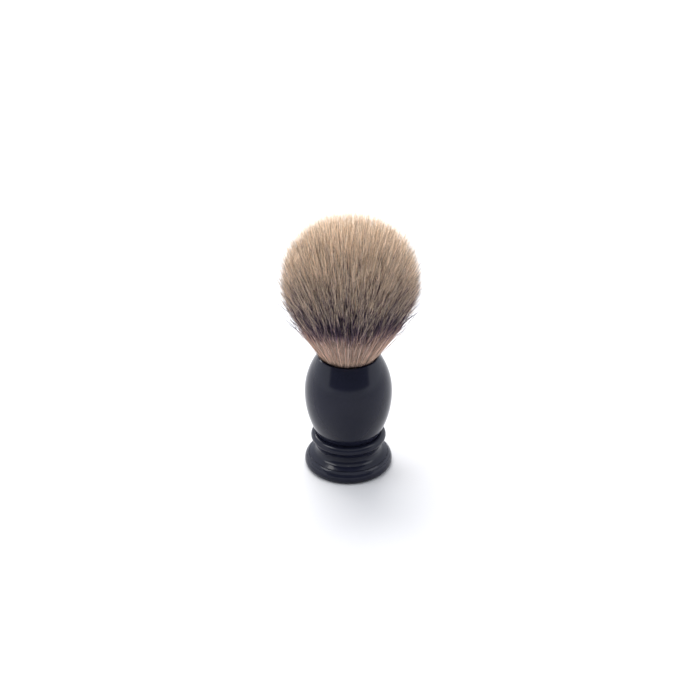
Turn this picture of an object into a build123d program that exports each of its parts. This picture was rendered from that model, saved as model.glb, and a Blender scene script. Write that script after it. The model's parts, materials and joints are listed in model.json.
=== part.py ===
"""Shaving brush: a turned handle with a glued-in hair knot, standing on its foot.

Millimetres, +Z up along the turning axis, origin at the centre of the foot's underside.
Every piece is round about Z, so each one is drawn as a half section (radius, height)
and turned about the axis. The hair is three bundles: the roots held in the socket, and
two free lengths that bend about the hinge centres LOWER_BEND and UPPER_BEND.
"""
from build123d import *
import math
import os

# ---- handle outline ----
HANDLE_HEIGHT = 48.0        # underside to mouth
BULB_RADIUS = 16.8          # the grip's widest radius
BULB_WIDEST = 32.0          # height of the widest radius
UPPER_ARC = 27.0            # radius of the bulb's outline above its widest point
LOWER_ARC = 37.0            # and below it
LIP_BEVEL = 0.15            # broken outer edge of the mouth
BEAD_TOP = 14.25            # crease between the bulb and the bead
BEAD_BOTTOM = 10.8          # crease between the bead and the cove
BEAD_RADIUS = 14.6
NECK_RADIUS = 12.8          # at the bead's lower crease
COVE_RADIUS = 12.2          # narrowest part of the cove
COVE_MIDDLE = 8.1
COVE_SWEEP = 2.6            # radius of the hollow that runs out from the cove to the foot
COVE_SWEEP_END = 240.0      # degrees round that hollow where the straight flare begins
FOOT_RADIUS = 17.15
FOOT_EDGE = 1.7             # rounding under the foot's rim
FOOT_TOP_ROUND = 3.7        # rounding over the foot's rim
TURNED_LINES = (            # on the foot's top rounding: degrees from, degrees to, depth
    (35.5, 39.0, 0.12),
    (54.0, 61.0, 0.30),
)

# ---- bores and hidden pieces ----
SOCKET_RADIUS = 11.1
SOCKET_FLOOR = 33.6
BALLAST_BORE_RADIUS = 8.5
BALLAST_BORE_TOP = 24.0
PAD_RADIUS = 13.0
PAD_THICKNESS = 1.0
PLUG_THICKNESS = 3.0
PLUG_LIP = 1.5              # the base plug's flange stands this far past its bore
PLUG_LIP_THICKNESS = 0.8
BALLAST_RADIUS = 8.2
BALLAST_TOP = 23.4
GLUE_FILM = 0.3             # adhesive between the knot and the socket wall
GLUE_BED = 0.6              # adhesive under the knot
GLUE_RISE = 7.0             # how far the adhesive climbs the wall
KNOT_PLUG_THICKNESS = 5.0
CORD_RADIUS = 0.35          # binding thread
CORD_TURNS = 4
FIT_GAP = 0.05              # between pieces that slide together for gluing

# ---- hair ----
ROOT_RADIUS = 10.1          # the bundle where the thread binds it
LOFT = 55.1                 # mouth to the tip of the dome
DOME_RADIUS = 24.5
BODY_GAP = 0.3              # between hair bundles that bend apart
LOWER_BEND = HANDLE_HEIGHT + 7.6
UPPER_BEND = HANDLE_HEIGHT + 21.6
LOWER_BALL = 16.0           # the ball about each hinge centre where two bundles meet
UPPER_BALL = 23.5


def at(radius, height):
    """A point of the half section."""
    return Vector(radius, 0, height)


def arc(center, radius, start, end):
    """An arc of the half section, with angles in degrees from the outward direction."""
    def point(angle):
        turn = math.radians(angle)
        return center + Vector(radius * math.cos(turn), 0, radius * math.sin(turn))
    return ThreePointArc(point(start), point((start + end) / 2), point(end))


def turned(*edges):
    """Close a chain of half-section edges with a straight line and turn it about Z."""
    chain = Wire(edges)
    if (chain @ 0 - chain @ 1).length > 1e-6:
        chain = Wire([*chain.edges(), Line(chain @ 1, chain @ 0)])
    return revolve(Face(chain), Axis.Z, 360)


def turned_polygon(*points):
    """Turn a straight-sided half section about Z."""
    corners = [at(radius, height) for radius, height in points]
    return revolve(Face(Wire(Polyline(*corners, close=True).edges())), Axis.Z, 360)


def disc(radius, bottom, top):
    """A plain round disc or slug on the axis."""
    return turned_polygon((0, bottom), (radius, bottom), (radius, top), (0, top))


def bulb_radius(height):
    """Outer radius of the bulb at a height, on its lower or its upper arc."""
    outline = UPPER_ARC if height > BULB_WIDEST else LOWER_ARC
    return BULB_RADIUS - outline + math.sqrt(outline**2 - (height - BULB_WIDEST) ** 2)


def foot_edges():
    """Rounded rim of the foot, with the turned lines on its upper side."""
    under = at(FOOT_RADIUS - FOOT_EDGE, FOOT_EDGE)
    over = at(FOOT_RADIUS - FOOT_TOP_ROUND, FOOT_EDGE)

    def on_rim(angle, depth=0.0):
        turn = math.radians(angle)
        reach = FOOT_TOP_ROUND - depth
        return over + Vector(reach * math.cos(turn), 0, reach * math.sin(turn))

    edges = [arc(under, FOOT_EDGE, -90, 0)]
    reached = 0.0
    for start, end, depth in TURNED_LINES:
        edges.append(arc(over, FOOT_TOP_ROUND, reached, start))
        edges.append(ThreePointArc(on_rim(start), on_rim((start + end) / 2, depth), on_rim(end)))
        reached = end
    return edges


def cove_edges(rim):
    """From the foot's rim up the flare and the hollow sweep, then up the cove to the neck."""
    center = at(COVE_RADIUS + COVE_SWEEP, COVE_MIDDLE)
    sweep = arc(center, COVE_SWEEP, COVE_SWEEP_END, 180)
    neck = at(NECK_RADIUS, BEAD_BOTTOM)
    # The upper arc leaves the narrowest point upright and ends at the neck.
    widening = NECK_RADIUS - COVE_RADIUS
    rise = BEAD_BOTTOM - COVE_MIDDLE
    bend = (rise**2 + widening**2) / (2 * widening)
    middle = at(COVE_RADIUS + bend - math.sqrt(bend**2 - rise**2 / 4), COVE_MIDDLE + rise / 2)
    return [Line(rim, sweep @ 0), sweep, ThreePointArc(sweep @ 1, middle, neck)]


def bulb_edges():
    """The grip, from the crease above the bead to the mouth's bevelled edge."""
    low_middle = (BEAD_TOP + BULB_WIDEST) / 2
    top = HANDLE_HEIGHT - LIP_BEVEL
    high_middle = (BULB_WIDEST + top) / 2
    crease = at(bulb_radius(BEAD_TOP), BEAD_TOP)
    widest = at(BULB_RADIUS, BULB_WIDEST)
    lower = ThreePointArc(crease, at(bulb_radius(low_middle), low_middle), widest)
    upper = ThreePointArc(widest, at(bulb_radius(high_middle), high_middle), at(bulb_radius(top), top))
    bevel = Line(upper @ 1, at(bulb_radius(top) - 2 * LIP_BEVEL, HANDLE_HEIGHT))
    return [lower, upper, bevel]


def make_handle():
    """The turned grip, bead and foot in one piece, bored from both ends."""
    foot = foot_edges()
    bulb = bulb_edges()
    cove = cove_edges(foot[-1] @ 1)
    neck = cove[-1] @ 1
    crease = bulb[0] @ 0
    bead = ThreePointArc(neck, at(BEAD_RADIUS, (BEAD_TOP + BEAD_BOTTOM) / 2), crease)
    inside = Polyline(
        bulb[-1] @ 1,
        at(SOCKET_RADIUS, HANDLE_HEIGHT),
        at(SOCKET_RADIUS, SOCKET_FLOOR),
        at(0, SOCKET_FLOOR),
        at(0, BALLAST_BORE_TOP),
        at(BALLAST_BORE_RADIUS, BALLAST_BORE_TOP),
        at(BALLAST_BORE_RADIUS, PAD_THICKNESS + PLUG_LIP_THICKNESS),
        at(BALLAST_BORE_RADIUS + PLUG_LIP, PAD_THICKNESS + PLUG_LIP_THICKNESS),
        at(BALLAST_BORE_RADIUS + PLUG_LIP, PAD_THICKNESS),
        at(PAD_RADIUS, PAD_THICKNESS),
        at(PAD_RADIUS, 0),
        foot[0] @ 0,
    )
    return turned(*foot, *cove, bead, *bulb, *inside.edges())


def make_base_pad():
    """Cork disc let into the underside, level with the foot's rim."""
    return disc(PAD_RADIUS - FIT_GAP, 0, PAD_THICKNESS)


def make_base_plug():
    """Flanged plug that closes the ballast bore."""
    bottom = PAD_THICKNESS
    flange = bottom + PLUG_LIP_THICKNESS
    top = bottom + PLUG_THICKNESS
    wide = BALLAST_BORE_RADIUS + PLUG_LIP - FIT_GAP
    narrow = BALLAST_BORE_RADIUS - FIT_GAP
    lip = [(0, bottom), (wide, bottom), (wide, flange), (narrow, flange)]
    return turned_polygon(*lip, (narrow, top), (0, top))


def make_ballast():
    """Steel slug that makes the foot heavy, with a chamfered upper edge."""
    bottom = PAD_THICKNESS + PLUG_THICKNESS
    slug = disc(BALLAST_RADIUS, bottom, BALLAST_TOP)
    return chamfer(slug.edges().group_by(Axis.Z)[-1], 0.8)


def make_socket_glue():
    """Adhesive cup between the knot and the socket."""
    outer = SOCKET_RADIUS
    inner = SOCKET_RADIUS - GLUE_FILM
    bed = SOCKET_FLOOR + GLUE_BED
    rim = SOCKET_FLOOR + GLUE_RISE
    wall = [(outer, SOCKET_FLOOR), (outer, rim), (inner, rim), (inner, bed)]
    return turned_polygon((0, SOCKET_FLOOR), *wall, (0, bed))


def knot_plug_top():
    return SOCKET_FLOOR + GLUE_BED + KNOT_PLUG_THICKNESS


def make_knot_plug():
    """Hardened resin that the hair ends are set in."""
    return disc(SOCKET_RADIUS - GLUE_FILM, SOCKET_FLOOR + GLUE_BED, knot_plug_top())


def make_binding_cord():
    """Thread turns wound side by side round the roots, each one a ring."""
    first = knot_plug_top() + CORD_RADIUS
    reach = ROOT_RADIUS + CORD_RADIUS
    spacing = 2 * CORD_RADIUS + 0.02
    turns = [Pos(0, 0, first + spacing * turn) * Torus(reach, CORD_RADIUS) for turn in range(CORD_TURNS)]
    return Compound(children=turns)


def make_tuft():
    """All the hair in one form: bound root, socket length, cone and round dome."""
    root = knot_plug_top()
    bound_top = root + CORD_TURNS * (2 * CORD_RADIUS + 0.02) + 0.3
    fills_socket = bound_top + 3.0
    mouth_radius = SOCKET_RADIUS - FIT_GAP
    dome_height = HANDLE_HEIGHT + LOFT - DOME_RADIUS
    # The cone leaves the mouth's edge and touches the dome.
    rise = dome_height - HANDLE_HEIGHT
    reach = math.hypot(rise, mouth_radius)
    flare = math.asin(DOME_RADIUS / reach) - math.atan2(mouth_radius, rise)
    dome = arc(at(0, dome_height), DOME_RADIUS, -math.degrees(flare), 90)
    side = Polyline(
        at(0, root),
        at(ROOT_RADIUS, root),
        at(ROOT_RADIUS, bound_top),
        at(mouth_radius, fills_socket),
        at(mouth_radius, HANDLE_HEIGHT),
        dome @ 0,
    )
    return turned(*side.edges(), dome)


def below(height):
    """Everything inside the hair's reach that lies below a height."""
    return disc(LOFT, 0, height)


def ball(height, radius):
    return Pos(0, 0, height) * Sphere(radius)


def make_hair():
    """Cut the tuft into roots, waist and bloom along balls about the hinge centres."""
    tuft = make_tuft()
    held = below(LOWER_BEND) + ball(LOWER_BEND, LOWER_BALL)
    held_clear = below(LOWER_BEND) + ball(LOWER_BEND, LOWER_BALL + BODY_GAP)
    carried = below(UPPER_BEND) + ball(UPPER_BEND, UPPER_BALL)
    carried_clear = below(UPPER_BEND) + ball(UPPER_BEND, UPPER_BALL + BODY_GAP)
    roots = tuft & held
    waist = (tuft & carried) - held_clear
    bloom = tuft - carried_clear
    return {"hair_roots": roots, "hair_waist": waist, "hair_bloom": bloom}


def main():
    pieces = {
        "handle_body": make_handle(),
        "base_pad": make_base_pad(),
        "base_plug": make_base_plug(),
        "ballast_weight": make_ballast(),
        "socket_glue": make_socket_glue(),
        "knot_plug": make_knot_plug(),
        "binding_cord": make_binding_cord(),
        **make_hair(),
    }
    os.makedirs("parts", exist_ok=True)
    for name, shape in pieces.items():
        export_step(shape, f"parts/{name}.step")


main()
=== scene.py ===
"""Looks for the shaving brush: a polished black handle and a knot of badger hair.

Metres, in the CAD frame. The handle's CAD nodes keep their shape and get materials. The three
CAD hair bundles are replaced by thousands of tapered hairs. Each hair runs from the handle's
mouth to the dome and is cut in two near one height, into a lower and an upper length.
"""
import json
import math

import bpy
import numpy as np
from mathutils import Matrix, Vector


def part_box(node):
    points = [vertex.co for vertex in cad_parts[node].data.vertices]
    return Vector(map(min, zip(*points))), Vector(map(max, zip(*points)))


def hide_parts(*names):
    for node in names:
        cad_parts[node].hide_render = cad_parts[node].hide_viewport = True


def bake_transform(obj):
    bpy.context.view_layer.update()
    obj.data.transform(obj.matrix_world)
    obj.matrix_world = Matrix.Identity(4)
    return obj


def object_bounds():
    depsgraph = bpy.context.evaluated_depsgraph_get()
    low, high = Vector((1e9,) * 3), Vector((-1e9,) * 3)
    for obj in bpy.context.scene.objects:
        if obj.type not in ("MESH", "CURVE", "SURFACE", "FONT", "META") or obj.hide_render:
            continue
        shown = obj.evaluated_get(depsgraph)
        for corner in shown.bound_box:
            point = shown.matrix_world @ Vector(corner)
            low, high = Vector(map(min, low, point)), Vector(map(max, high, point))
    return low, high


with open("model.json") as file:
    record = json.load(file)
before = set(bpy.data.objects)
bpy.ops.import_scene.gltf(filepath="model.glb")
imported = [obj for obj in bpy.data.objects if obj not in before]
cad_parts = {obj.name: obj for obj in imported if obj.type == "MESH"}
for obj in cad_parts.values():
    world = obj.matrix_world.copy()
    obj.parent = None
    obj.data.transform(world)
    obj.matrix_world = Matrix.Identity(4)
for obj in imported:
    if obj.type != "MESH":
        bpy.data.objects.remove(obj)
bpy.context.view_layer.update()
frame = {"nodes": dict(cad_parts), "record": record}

MM = 0.001
RNG = np.random.default_rng(20)

# ---- measures taken from the frame ----
MOUTH_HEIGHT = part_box("handle_body")[1].z
BRUSH_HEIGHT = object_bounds()[1].z
DOME_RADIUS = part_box("hair_bloom")[1].x
DOME_CENTER = BRUSH_HEIGHT - DOME_RADIUS
PIVOT_HEIGHT = {joint["name"]: joint["pos_m"][2] for joint in frame["record"]["behaviour"]["joints"]}

# ---- the hairs, and where they start ----
HAIR_COUNT = 16000
LOCKS = 8                       # the knot is built as this many sectors
HAIR_SIDES = 3
HAIR_RADIUS = 0.070 * MM
RADIUS_SHARES = (0.75, 1.25)    # thinnest and thickest hair, against HAIR_RADIUS
ROOT_SINK = 1.2 * MM            # how far the hairs start inside the mouth
ROOT_GAP = 1.2 * MM             # between the outermost hairs' starts and the mouth's wall

# ---- where the tips lie ----
LAST_TIP_ANGLE = math.radians(101)   # from the dome's top to the lowest tips
TIP_ANGLE_SPREAD = 0.07         # radians
TIP_TURN_SPREAD = 0.06          # radians, round the handle's axis
TIP_REACH = 1.035               # mean distance of the tips from the dome's centre, in dome radii
TIP_REACH_SPREAD = 0.028
SHOULDER_REACH = 0.050          # more than that half way down the dome's side
KNOT_LEAN = 0.8 * MM            # the tips lie this far to +X of the handle's axis
OUTER_SHARE = 0.86              # hairs that start beyond this share of the roots' radius are outer ones
SHORT_SHARE = 0.20              # of the outer hairs, those whose tips lie lower on the cone
MOST_SHORTENED = 0.5            # share of its length that such a hair loses at most

# ---- clumps and strays ----
CLUMPS = 5000
CLUMP_PULL = 0.35               # share of the way that a tip leans towards its clump
PULL_SPREAD = 1.1 * MM          # how far a tip stands away from there
BOW_SPREAD = 0.65 * MM          # how far a hair bows half way along
STRAY_COUNT = 120
STRAY_POOL = HAIR_COUNT // 12   # the strays are some of this many outermost hairs
STRAY_TOP = (18 * MM, 27 * MM)  # lowest and highest end of a stray above the mouth
STRAY_STAND_OFF = (3 * MM, 6.5 * MM)   # how far its end stands off the cone
STRAY_THICKNESS = 1.4           # against the other hairs

# ---- the bends, and the cut between them ----
LOWER_BEND_REACH = 6 * MM       # the lower bend's span reaches this far below and above the lower hinge
UPPER_BEND_REACH = 8 * MM       # and the upper bend's span this far above the upper hinge
CUT_SPREAD = 1.5 * MM           # each hair is cut within this of the cut's height, so no seam shows
CUT_HEIGHT = PIVOT_HEIGHT["hair_bend_front_back"] + LOWER_BEND_REACH + CUT_SPREAD
LEAST_UPPER_LENGTH = 1.5 * MM   # from the highest cut to the lowest tip
LOWER_RINGS = np.array([0, 0.12, 0.3, 0.5, 0.75, 1])   # shares of a lower length's height
UPPER_RINGS = np.array([0, 0.12, 0.26, 0.42, 0.6, 0.78, 0.92, 1])

# ---- colours along a hair, in heights above the mouth ----
PAINTED_MOUTH_SHADE = 2.2 * MM           # painted shade where the hair enters the mouth: the hair is darker from the glue up to here
BAND_START = 14.8 * MM          # the middle of the change from the cream root to the dark band
BAND_START_FADE = 5 * MM        # how long that change is
BAND_END_FADE = 5.5 * MM        # and the change from the dark band to the cream tip
EARLIEST_BAND_END = 20 * MM
DOME_TIP = 24 * MM              # tips higher than this lie on the dome
CREAM_TIP = 4.6 * MM            # the cream tip's length on a hair whose tip lies there
CREAM_TIP_GROWTH = 0.38         # and how much it grows with the tip's height above that
FRONT_PAINTED_SHADE_RISE = 4.4 * MM      # painted shade: the dark band sits this much higher at the front, which faces away from the key light, than at the sides
CLUMP_BAND_SPREAD = 1.4 * MM    # how far the band moves from clump to clump
OWN_BAND_SPREAD = 4.2 * MM      # and from hair to hair
DARK_SHARE = 0.07               # hairs that are dark to the tip
DARK_BAND_OFFSET = 12 * MM      # how much higher the band sits on those
DARKEST = 0.5                   # the dark band's place in the hair's colours
UV_COLUMNS = 256                # strips of U, each with a shade of its own
HAIRS_SHARE = 8                 # neighbouring columns that one clump's hairs share


def mouth_radius():
    """Radius of the hole that the hair leaves by, read from the handle's top ring."""
    mesh = frame["nodes"]["handle_body"].data
    points = np.array([v.co for v in mesh.vertices])
    top = points[points[:, 2] > MOUTH_HEIGHT - 0.01 * MM]
    return float(np.hypot(top[:, 0], top[:, 1]).min())


# ================= materials =================

def new_material(name):
    """A node material, with its tree and its Principled shader."""
    material = bpy.data.materials.new(name)
    material.use_nodes = True
    tree = material.node_tree
    return material, tree, tree.nodes["Principled BSDF"]


def ramp(tree, stops):
    """A colour ramp from (position, colour) stops."""
    node = tree.nodes.new("ShaderNodeValToRGB")
    elements = node.color_ramp.elements
    while len(elements) < len(stops):
        elements.new(0.5)
    for element, (position, color) in zip(elements, stops):
        element.position = position
        element.color = (*color, 1)
    return node


def math_node(tree, operation, first, second=0.0):
    """A math node whose inputs are sockets or numbers."""
    node = tree.nodes.new("ShaderNodeMath")
    node.operation = operation
    for socket, value in zip(node.inputs, (first, second)):
        if isinstance(value, bpy.types.NodeSocket):
            tree.links.new(value, socket)
        else:
            socket.default_value = value
    return node.outputs[0]


def map_range(tree, value, low, high):
    """Spreads a 0 to 1 value between low and high."""
    node = tree.nodes.new("ShaderNodeMapRange")
    tree.links.new(value, node.inputs["Value"])
    node.inputs["To Min"].default_value = low
    node.inputs["To Max"].default_value = high
    return node.outputs["Result"]


def noise(tree, scale, detail=2.0, stretch=(1, 1, 1)):
    """Noise in object space, in features per metre."""
    coordinates = tree.nodes.new("ShaderNodeTexCoord")
    mapping = tree.nodes.new("ShaderNodeMapping")
    mapping.inputs["Scale"].default_value = stretch
    node = tree.nodes.new("ShaderNodeTexNoise")
    node.inputs["Scale"].default_value = scale
    node.inputs["Detail"].default_value = detail
    tree.links.new(coordinates.outputs["Object"], mapping.inputs["Vector"])
    tree.links.new(mapping.outputs["Vector"], node.inputs["Vector"])
    return node.outputs["Fac"]


def add_bump(tree, shader, height, strength, distance):
    """Roughens a shader's surface with a pattern, which is distance deep."""
    node = tree.nodes.new("ShaderNodeBump")
    node.inputs["Strength"].default_value = strength
    node.inputs["Distance"].default_value = distance
    tree.links.new(height, node.inputs["Height"])
    tree.links.new(node.outputs["Normal"], shader.inputs["Normal"])


def hair_material():
    """Badger hair: cream root, dark band and cream tip along V, and shades by column of U."""
    material, tree, shader = new_material("badger_hair")
    uv = tree.nodes.new("ShaderNodeUVMap")
    uv.uv_map = "OFBake"
    split = tree.nodes.new("ShaderNodeSeparateXYZ")
    tree.links.new(uv.outputs["UV"], split.inputs["Vector"])
    # The first stop is painted shade where the hair leaves the mouth; then come cream root, dark band and
    # cream tip.
    along = ramp(tree, [
        (0.00, (0.14, 0.080, 0.090)),
        (0.08, (0.90, 0.65, 0.50)),
        (0.22, (0.80, 0.55, 0.50)),
        (0.38, (0.130, 0.062, 0.115)),
        (0.50, (0.028, 0.009, 0.046)),
        (0.64, (0.150, 0.090, 0.145)),
        (0.80, (0.95, 0.73, 0.63)),
        (1.00, (0.92, 0.73, 0.55)),
    ])
    tree.links.new(split.outputs["Y"], along.inputs["Fac"])

    def column_random(columns, seed):
        """A random number that is the same all along a hair, or along a clump of hairs."""
        column = math_node(tree, "FLOOR", math_node(tree, "MULTIPLY", split.outputs["X"], columns))
        white = tree.nodes.new("ShaderNodeTexWhiteNoise")
        white.noise_dimensions = "1D"
        tree.links.new(math_node(tree, "ADD", column, seed), white.inputs["W"])
        return white.outputs["Value"]

    own = map_range(tree, column_random(UV_COLUMNS, seed=3.5), low=0.36, high=1.30)
    clump_random = column_random(UV_COLUMNS / HAIRS_SHARE, seed=71.5)
    shared = map_range(tree, clump_random, low=0.80, high=1.06)
    warmth = map_range(tree, column_random(UV_COLUMNS, seed=37.5), low=0.85, high=1.15)
    tint = tree.nodes.new("ShaderNodeHueSaturation")
    tree.links.new(along.outputs["Color"], tint.inputs["Color"])
    tree.links.new(math_node(tree, "MULTIPLY", own, shared), tint.inputs["Value"])
    tree.links.new(warmth, tint.inputs["Saturation"])
    tree.links.new(tint.outputs["Color"], shader.inputs["Base Color"])
    shader.inputs["Roughness"].default_value = 0.42
    shader.inputs["Specular IOR Level"].default_value = 0.35
    return material


def handle_material():
    """Polished black resin with faint turning marks and a slightly uneven polish."""
    material, tree, shader = new_material("polished_black_resin")
    cloud = noise(tree, scale=60, detail=3)
    body = ramp(tree, [(0.3, (0.0085, 0.0095, 0.0190)), (0.7, (0.0105, 0.0115, 0.0235))])
    tree.links.new(cloud, body.inputs["Fac"])
    tree.links.new(body.outputs["Color"], shader.inputs["Base Color"])
    polish = noise(tree, scale=220, detail=4, stretch=(1, 1, 3))
    tree.links.new(map_range(tree, polish, low=0.09, high=0.14), shader.inputs["Roughness"])
    shader.inputs["IOR"].default_value = 1.29
    turning = noise(tree, scale=900, stretch=(0.05, 0.05, 1))
    add_bump(tree, shader, turning, strength=0.05, distance=0.02 * MM)
    return material


def cork_material():
    """Pressed cork: pale grains with dark flecks."""
    material, tree, shader = new_material("pressed_cork")
    grains = tree.nodes.new("ShaderNodeTexVoronoi")
    grains.inputs["Scale"].default_value = 900
    coordinates = tree.nodes.new("ShaderNodeTexCoord")
    tree.links.new(coordinates.outputs["Object"], grains.inputs["Vector"])
    color = ramp(tree, [(0.0, (0.52, 0.33, 0.18)), (0.55, (0.40, 0.23, 0.11)), (0.9, (0.12, 0.06, 0.03))])
    tree.links.new(grains.outputs["Distance"], color.inputs["Fac"])
    tree.links.new(color.outputs["Color"], shader.inputs["Base Color"])
    shader.inputs["Roughness"].default_value = 0.9
    add_bump(tree, shader, grains.outputs["Distance"], strength=0.4, distance=0.1 * MM)
    return material


def plug_material():
    """Moulded black plastic with a fine matte grain."""
    material, tree, shader = new_material("moulded_plug")
    grain = noise(tree, scale=3000)
    color = ramp(tree, [(0.3, (0.022, 0.022, 0.024)), (0.7, (0.034, 0.034, 0.036))])
    tree.links.new(grain, color.inputs["Fac"])
    tree.links.new(color.outputs["Color"], shader.inputs["Base Color"])
    shader.inputs["Roughness"].default_value = 0.55
    add_bump(tree, shader, grain, strength=0.3, distance=0.02 * MM)
    return material


def steel_material():
    """Turned mild steel with tool marks round the slug."""
    material, tree, shader = new_material("turned_steel")
    marks = noise(tree, scale=4000, stretch=(0.02, 0.02, 1))
    color = ramp(tree, [(0.3, (0.42, 0.42, 0.43)), (0.7, (0.62, 0.62, 0.62))])
    tree.links.new(marks, color.inputs["Fac"])
    tree.links.new(color.outputs["Color"], shader.inputs["Base Color"])
    tree.links.new(map_range(tree, marks, low=0.25, high=0.42), shader.inputs["Roughness"])
    shader.inputs["Metallic"].default_value = 1
    add_bump(tree, shader, marks, strength=0.2, distance=0.02 * MM)
    return material


def resin_material(name, dark, light):
    """Set resin with cloudy streaks."""
    material, tree, shader = new_material(name)
    cloud = noise(tree, scale=400, detail=3)
    color = ramp(tree, [(0.3, dark), (0.7, light)])
    tree.links.new(cloud, color.inputs["Fac"])
    tree.links.new(color.outputs["Color"], shader.inputs["Base Color"])
    shader.inputs["Roughness"].default_value = 0.25
    add_bump(tree, shader, cloud, strength=0.2, distance=0.05 * MM)
    return material


def thread_material():
    """Waxed thread with its twist."""
    material, tree, shader = new_material("waxed_thread")
    twist = noise(tree, scale=5000, stretch=(1, 1, 0.4))
    color = ramp(tree, [(0.3, (0.45, 0.40, 0.31)), (0.7, (0.74, 0.69, 0.58))])
    tree.links.new(twist, color.inputs["Fac"])
    tree.links.new(color.outputs["Color"], shader.inputs["Base Color"])
    shader.inputs["Roughness"].default_value = 0.6
    add_bump(tree, shader, twist, strength=0.5, distance=0.05 * MM)
    return material


def floor_material():
    """Pale matte tabletop, nearly even, that runs paler into the distance."""
    material, tree, shader = new_material("pale_tabletop")
    near = ramp(tree, [(0.3, (0.51, 0.51, 0.53)), (0.7, (0.54, 0.54, 0.555))])
    tree.links.new(noise(tree, scale=9), near.inputs["Fac"])
    coordinates = tree.nodes.new("ShaderNodeTexCoord")
    distance = tree.nodes.new("ShaderNodeVectorMath")
    distance.operation = "LENGTH"
    tree.links.new(coordinates.outputs["Object"], distance.inputs[0])
    far = ramp(tree, [(0.35, (0, 0, 0)), (1.0, (1, 1, 1))])
    tree.links.new(distance.outputs["Value"], far.inputs["Fac"])
    color = tree.nodes.new("ShaderNodeMixRGB")
    tree.links.new(far.outputs["Color"], color.inputs["Fac"])
    tree.links.new(near.outputs["Color"], color.inputs["Color1"])
    color.inputs["Color2"].default_value = (0.95, 0.95, 0.95, 1)
    tree.links.new(color.outputs["Color"], shader.inputs["Base Color"])
    shader.inputs["Roughness"].default_value = 0.6
    shader.inputs["Specular IOR Level"].default_value = 0.2
    return material


def paint_cad_nodes():
    """Gives each CAD node that stays its own material."""
    finishes = {
        "handle_body": handle_material(),
        "base_pad": cork_material(),
        "base_plug": plug_material(),
        "ballast_weight": steel_material(),
        "socket_glue": resin_material("socket_epoxy", (0.50, 0.35, 0.15), (0.66, 0.50, 0.24)),
        "knot_plug": resin_material("knot_resin", (0.34, 0.21, 0.09), (0.50, 0.33, 0.15)),
        "binding_cord": thread_material(),
    }
    for node, material in finishes.items():
        for material_slot in frame["nodes"][node].material_slots:
            material_slot.material = material


# ================= hair =================

def scatter_hairs():
    """Root and tip of every hair, and the direction from the handle's axis to its root."""
    # The hairs are counted from the axis outwards, so the last ones are the outermost.
    share = np.sqrt((np.arange(HAIR_COUNT) + RNG.random(HAIR_COUNT)) / HAIR_COUNT)
    turn = RNG.random(HAIR_COUNT) * 2 * math.pi
    root_radius = share * (mouth_radius() - ROOT_GAP)
    # Equal areas of the mouth go to equal areas of the dome.
    tip_angle = np.arccos(1 - (1 - math.cos(LAST_TIP_ANGLE)) * share**2)
    tip_angle += RNG.normal(0, TIP_ANGLE_SPREAD, HAIR_COUNT)
    shoulder = SHOULDER_REACH * np.sin(2 * np.minimum(tip_angle, math.pi / 2)) ** 2
    reach = DOME_RADIUS * (TIP_REACH + shoulder + RNG.normal(0, TIP_REACH_SPREAD, HAIR_COUNT))
    tip_turn = turn + RNG.normal(0, TIP_TURN_SPREAD, HAIR_COUNT)
    tips = np.stack([
        reach * np.sin(tip_angle) * np.cos(tip_turn) + KNOT_LEAN,
        reach * np.sin(tip_angle) * np.sin(tip_turn),
        DOME_CENTER + reach * np.cos(tip_angle),
    ], axis=1)
    roots = np.stack([
        root_radius * np.cos(turn),
        root_radius * np.sin(turn),
        np.full(HAIR_COUNT, MOUTH_HEIGHT - ROOT_SINK),
    ], axis=1)
    is_short = (share > OUTER_SHARE) & (RNG.random(HAIR_COUNT) < SHORT_SHARE)
    shorten = np.where(is_short, MOST_SHORTENED, 0) * RNG.random(HAIR_COUNT)
    tips = tips + (roots - tips) * shorten[:, None]
    return roots, tips, turn


def nearest_clump(tips):
    """For each tip, the number of the nearest clump, and that clump's own tip."""
    centers = tips[RNG.choice(len(tips), CLUMPS, replace=False)]
    nearest = np.empty(len(tips), int)
    # The tips are compared in batches, so that the distances fit in memory.
    batch = 2000
    for start in range(0, len(tips), batch):
        part = tips[start:start + batch]
        distance = ((part[:, None, :] - centers[None, :, :]) ** 2).sum(axis=2)
        nearest[start:start + batch] = distance.argmin(axis=1)
    return nearest, centers[nearest]


def make_strays(roots, tips, pull):
    """Turns a few of the outermost hairs into short ones whose ends stand off the cone."""
    outermost = np.arange(HAIR_COUNT - STRAY_POOL, HAIR_COUNT)
    chosen = RNG.choice(outermost, STRAY_COUNT, replace=False)
    height = MOUTH_HEIGHT + RNG.uniform(*STRAY_TOP, STRAY_COUNT)
    along = (height - roots[chosen, 2]) / (tips[chosen, 2] - roots[chosen, 2])
    tips[chosen] = roots[chosen] + along[:, None] * (tips[chosen] - roots[chosen])
    turn = np.arctan2(roots[chosen, 1], roots[chosen, 0])
    stand_off = RNG.uniform(*STRAY_STAND_OFF, STRAY_COUNT)
    pull[chosen] = stand_off[:, None] * np.stack([np.cos(turn), np.sin(turn)], axis=1)
    return chosen


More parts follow.
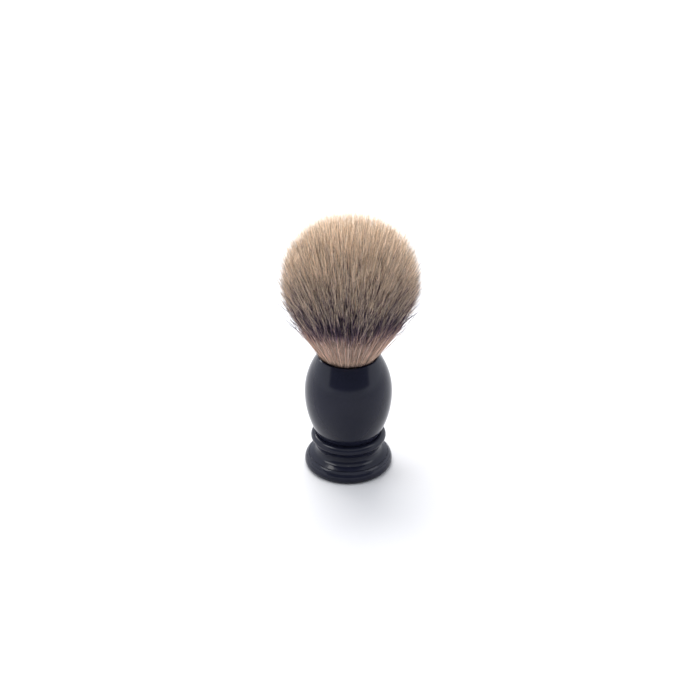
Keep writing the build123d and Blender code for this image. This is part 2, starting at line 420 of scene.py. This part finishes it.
def comb_hairs():
    """The course, colour and thickness of every hair: arrays with one row for each hair."""
    roots, tips, turn = scatter_hairs()
    clump, clump_tip = nearest_clump(tips)
    pull = (clump_tip - tips)[:, :2] * CLUMP_PULL + RNG.normal(0, PULL_SPREAD, (HAIR_COUNT, 2))
    strays = make_strays(roots, tips, pull)
    is_stray = np.zeros(HAIR_COUNT, bool)
    is_stray[strays] = True
    # A hair has to reach past the cut, so that both of its lengths exist.
    tips[:, 2] = np.maximum(tips[:, 2], CUT_HEIGHT + CUT_SPREAD + LEAST_UPPER_LENGTH)
    bow = RNG.normal(0, BOW_SPREAD, (HAIR_COUNT, 2))

    clump_offset = RNG.normal(0, CLUMP_BAND_SPREAD, CLUMPS)
    offset = clump_offset[clump] + RNG.normal(0, OWN_BAND_SPREAD, HAIR_COUNT)
    offset[RNG.random(HAIR_COUNT) < DARK_SHARE] = DARK_BAND_OFFSET
    offset[strays] = 0
    clump_column = RNG.integers(0, UV_COLUMNS // HAIRS_SHARE, CLUMPS) * HAIRS_SHARE
    column = clump_column[clump] + RNG.integers(0, HAIRS_SHARE, HAIR_COUNT)
    radius = HAIR_RADIUS * RNG.uniform(*RADIUS_SHARES, HAIR_COUNT)
    radius[strays] *= STRAY_THICKNESS
    # Painted shade: hairs that start at the front get their dark band higher, as the front faces away from
    # the key light.
    front = np.clip(-roots[:, 1] / roots[:, 1].max(), 0, 1)
    return {
        "roots": roots,
        "tips": tips,
        "turn": turn,
        "pull": pull,
        "bow": bow,
        "band_offset": offset,
        "band_rise": FRONT_PAINTED_SHADE_RISE * front,
        "column": column,
        "radius": radius,
        "is_stray": is_stray,
        "spin": RNG.random(HAIR_COUNT) * 2 * math.pi,
        "cut": CUT_HEIGHT + RNG.uniform(-CUT_SPREAD, CUT_SPREAD, HAIR_COUNT),
    }


def color_along(height, tip_height, offset, rise):
    """Place in the hair's colours: 0 where it leaves the glue, dark with painted shade at the mouth, then
    cream, dark band, cream tip.
    """
    above = height - MOUTH_HEIGHT
    tip_above = tip_height - MOUTH_HEIGHT
    # Low tips have little cream, and tips on the dome have more the higher they are.
    low_tip = np.minimum(tip_above / DOME_TIP, 1) ** 3
    cream_tip = CREAM_TIP * low_tip + CREAM_TIP_GROWTH * np.maximum(tip_above - DOME_TIP, 0)
    # The band's lower edge moves half as far as its upper edge; the rise is painted shade on the front
    # hairs.
    band_start = BAND_START + 0.5 * offset + 0.5 * rise
    band_end = np.maximum(tip_above - cream_tip + offset + rise, EARLIEST_BAND_END + 0.5 * offset)
    # Painted shade at the mouth: the hair starts dark where it leaves the glue.
    out_of_mouth_shade = np.clip(above / PAINTED_MOUTH_SHADE, 0, 1)
    into_band = np.clip((above - band_start) / BAND_START_FADE + 0.5, 0, 1)
    out_of_band = np.clip((above - band_end) / BAND_END_FADE + 0.5, 0, 1)
    drift = np.clip(above / tip_above, 0, 1)
    # The three changes and a slow drift share out the ramp's length, so their shares add up to 1.
    return 0.10 * out_of_mouth_shade + 0.36 * into_band + 0.06 * drift + 0.48 * out_of_band


def hair_points(hairs, heights):
    """Centre points of the hairs at given heights, one row of heights for each hair."""
    roots, tips, bow, pull = hairs["roots"], hairs["tips"], hairs["bow"], hairs["pull"]
    along = (heights - roots[:, 2:3]) / (tips[:, 2:3] - roots[:, 2:3])
    flat = roots[:, None, :2] + along[..., None] * (tips - roots)[:, None, :2]
    flat = flat + np.sin(math.pi * along)[..., None] * bow[:, None, :]
    flat = flat + (along**3)[..., None] * pull[:, None, :]
    return np.concatenate([flat, heights[..., None]], axis=2), along


def taper(along):
    """Thickness along a hair: a little thinner in the mouth, full in the middle, fine at the tip."""
    return (0.9 + 0.3 * along) * np.clip(1.15 - along**4, 0.2, 1)


def tube_faces(rings, pointed):
    """Faces of one hair with so many full rings: its sides, and the caps that close it."""
    sides = []
    for ring in range(rings - 1):
        low = ring * HAIR_SIDES
        high = low + HAIR_SIDES
        for side in range(HAIR_SIDES):
            beside = (side + 1) % HAIR_SIDES
            sides.append([low + side, low + beside, high + beside, high + side])
    last = (rings - 1) * HAIR_SIDES
    caps = []
    if pointed:
        point = last + HAIR_SIDES
        sides += [[last + side, last + (side + 1) % HAIR_SIDES, point] for side in range(HAIR_SIDES)]
    else:
        caps.append([last + side for side in range(HAIR_SIDES)])
    caps.append([side for side in reversed(range(HAIR_SIDES))])
    return sides, caps


def tube_mesh(name, centers, radii, spin, column, color_v, pointed):
    """One mesh of many hairs: rings about the centres, closed at both ends."""
    count, rings = centers.shape[:2]
    angle = spin[:, None, None] + np.arange(HAIR_SIDES) * 2 * math.pi / HAIR_SIDES
    ring = np.stack([np.cos(angle), np.sin(angle), np.zeros_like(angle)], axis=3)
    points = centers[:, :, None, :] + radii[:, :, None, None] * ring
    full_rings = rings - 1 if pointed else rings
    body = points[:, :full_rings].reshape(count, full_rings * HAIR_SIDES, 3)
    if pointed:
        body = np.concatenate([body, points[:, -1].mean(axis=1)[:, None, :]], axis=1)
    per_hair = body.shape[1]

    sides, caps = tube_faces(full_rings, pointed)
    corners = np.concatenate(sides + caps)
    sizes = [len(face) for face in sides + caps]
    base = (np.arange(count) * per_hair)[:, None]
    loops = (base + corners).ravel()
    starts = np.concatenate([[0], np.cumsum(np.tile(sizes, count))[:-1]])

    mesh = bpy.data.meshes.new(name)
    mesh.vertices.add(count * per_hair)
    mesh.vertices.foreach_set("co", body.reshape(-1).astype(np.float32))
    mesh.loops.add(len(loops))
    mesh.loops.foreach_set("vertex_index", loops.astype(np.int32))
    mesh.polygons.add(len(starts))
    mesh.polygons.foreach_set("loop_start", starts.astype(np.int32))
    mesh.update(calc_edges=True)
    # The caps stay flat, so that they don't bend the shading of the sides.
    smooth = [True] * len(sides) + [False] * len(caps)
    mesh.polygons.foreach_set("use_smooth", np.tile(smooth, count))

    # Each hair has its own narrow strip of U, and its colours lie along V.
    side_u = np.concatenate([np.tile([0.2, 0.5, 0.8], full_rings), [0.5] if pointed else []])
    vertex_u = (column[:, None] + side_u) / UV_COLUMNS
    vertex_v = np.repeat(color_v[:, :full_rings], HAIR_SIDES, axis=1)
    if pointed:
        vertex_v = np.concatenate([vertex_v, color_v[:, -1:]], axis=1)
    vertex_uv = np.stack([vertex_u, vertex_v], axis=2).reshape(-1, 2)
    layer = mesh.uv_layers.new(name="OFBake")
    layer.uv.foreach_set("vector", vertex_uv[loops].reshape(-1).astype(np.float32))
    return mesh


def length_mesh(name, hairs, low, high, steps, pointed):
    """The mesh of some hairs between two heights, with rings at the given steps between them."""
    heights = low[:, None] + steps * (high - low)[:, None]
    centers, along = hair_points(hairs, heights)
    radii = hairs["radius"][:, None] * taper(along)
    tip_height = hairs["tips"][:, 2:3]
    color_v = color_along(
        heights, tip_height, hairs["band_offset"][:, None], hairs["band_rise"][:, None])
    # Strays stay dark from the band to their ends.
    is_stray = hairs["is_stray"]
    color_v[is_stray] = np.minimum(color_v[is_stray], DARKEST)
    return tube_mesh(name, centers, radii, hairs["spin"], hairs["column"], color_v, pointed)


def add_piece(mesh, material, body_a, body_b, start, end):
    """Links a hair mesh, with its material, to the scene; the two bodies and the span of heights are not
    used.
    """
    mesh.materials.append(material)
    piece = bpy.data.objects.new(mesh.name, mesh)
    bpy.context.scene.collection.objects.link(piece)
    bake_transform(piece)
    return piece


def build_hair():
    """All the hair, as a lower and an upper piece for each sector of the knot."""
    hairs = comb_hairs()
    material = hair_material()
    # The cuts lie between the two bends' spans of heights.
    lower_pivot = PIVOT_HEIGHT["hair_bend_front_back"]
    lower_bend = ("handle", "lower_hair", lower_pivot - LOWER_BEND_REACH, lower_pivot + LOWER_BEND_REACH)
    upper_bend_end = PIVOT_HEIGHT["hair_bend_sideways"] + UPPER_BEND_REACH
    upper_bend = ("lower_hair", "upper_hair", CUT_HEIGHT + CUT_SPREAD, upper_bend_end)
    sector = (hairs["turn"] / (2 * math.pi) * LOCKS).astype(int) % LOCKS
    for lock in range(LOCKS):
        part = {key: value[sector == lock] for key, value in hairs.items()}
        root, cut, tip = part["roots"][:, 2], part["cut"], part["tips"][:, 2]
        mesh = length_mesh(f"hair_lower_{lock + 1}", part, root, cut, LOWER_RINGS, pointed=False)
        piece = add_piece(mesh, material, *lower_bend)
        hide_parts("hair_roots", "hair_waist")
        mesh = length_mesh(f"hair_upper_{lock + 1}", part, cut, tip, UPPER_RINGS, pointed=True)
        piece = add_piece(mesh, material, *upper_bend)
        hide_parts("hair_waist", "hair_bloom")


# ================= stage, light and camera =================

def build_floor():
    """A wide pale tabletop with a rounded outline."""
    radius = 3.0
    corners = 96
    turns = [2 * math.pi * k / corners for k in range(corners)]
    mesh = bpy.data.meshes.new("tabletop")
    mesh.from_pydata([(radius * math.cos(t), radius * math.sin(t), 0) for t in turns], [], [range(corners)])
    mesh.materials.append(floor_material())
    floor = bpy.data.objects.new("tabletop", mesh)
    bpy.context.scene.collection.objects.link(floor)


def add_area_light(name, direction, distance, size, power, color):
    """A square area light that looks at the middle of the brush from a direction (azimuth, elevation)."""
    azimuth, elevation = (math.radians(angle) for angle in direction)
    target = Vector((0, 0, BRUSH_HEIGHT / 2))
    away = Vector((
        math.sin(azimuth) * math.cos(elevation),
        -math.cos(azimuth) * math.cos(elevation),
        math.sin(elevation),
    ))
    data = bpy.data.lights.new(name, "AREA")
    data.size = size
    data.energy = power
    data.color = color
    light = bpy.data.objects.new(name, data)
    light.location = target + distance * away
    light.rotation_euler = away.to_track_quat("Z", "Y").to_euler()
    bpy.context.scene.collection.objects.link(light)


def build_world():
    """Pale surroundings, darker towards the front, where a photographer would stand."""
    world = bpy.data.worlds.new("pale_room")
    world.use_nodes = True
    tree = world.node_tree
    background = tree.nodes["Background"]
    direction = tree.nodes.new("ShaderNodeTexCoord")
    split = tree.nodes.new("ShaderNodeSeparateXYZ")
    tree.links.new(direction.outputs["Generated"], split.inputs["Vector"])

    def step(value, low, high):
        """Changes smoothly from 0 where the value is low to 1 where it is high."""
        node = tree.nodes.new("ShaderNodeMapRange")
        node.interpolation_type = "SMOOTHSTEP"
        node.inputs["From Min"].default_value = low
        node.inputs["From Max"].default_value = high
        tree.links.new(value, node.inputs["Value"])
        return node.outputs["Result"]

    # The dark opening's middle lies a little to the right, and it is soft at its four edges.
    opening_middle = 0.03
    off_middle = math_node(tree, "SUBTRACT", split.outputs["X"], opening_middle)
    sideways = math_node(tree, "ABSOLUTE", off_middle)
    opening = step(sideways, low=0.88, high=0.78)
    for limit in (
        step(split.outputs["Y"], low=-0.05, high=-0.25),
        step(split.outputs["Z"], low=0.07, high=0.16),
        step(split.outputs["Z"], low=0.74, high=0.62),
    ):
        opening = math_node(tree, "MULTIPLY", opening, limit)
    room = map_range(tree, opening, low=1.25, high=0.20)
    # The room is brighter towards its left and right walls.
    windows = map_range(tree, step(sideways, low=0.50, high=0.90), low=1.0, high=1.5)
    tree.links.new(math_node(tree, "MULTIPLY", room, windows), background.inputs["Strength"])
    background.inputs["Color"].default_value = (0.93, 0.96, 1.0, 1)
    bpy.context.scene.world = world


def build_lights():
    """A strong key light from behind, a window at each side and a small lamp over the camera."""
    add_area_light("key", (195, 57), distance=1.2, size=1.0, power=24, color=(1, 0.98, 0.95))
    add_area_light("left_window", (-86, 54), distance=1.1, size=0.45, power=3.6, color=(1, 1, 1))
    add_area_light("right_bounce", (84, 48), distance=1.2, size=0.50, power=1.8, color=(0.97, 0.98, 1))
    add_area_light("ceiling_lamp", (0, 69), distance=1.5, size=0.05, power=0.16, color=(1, 1, 1))


def build_camera():
    """The camera looks at the roots of the hair from the front and above."""
    distance = 0.470
    elevation = math.radians(29.1)
    target = Vector((0.60 * MM, 0, 49.75 * MM))
    away = Vector((0, -math.cos(elevation), math.sin(elevation)))
    data = bpy.data.cameras.new("camera")
    data.sensor_width = 36
    data.lens = 64.3
    data.clip_start = 0.01
    camera = bpy.data.objects.new("camera", data)
    camera.location = target + distance * away
    camera.rotation_euler = away.to_track_quat("Z", "Y").to_euler()
    bpy.context.scene.collection.objects.link(camera)
    bpy.context.scene.camera = camera


paint_cad_nodes()
build_hair()
build_floor()
build_world()
build_lights()
build_camera()
bpy.context.scene.view_settings.view_transform = "Standard"
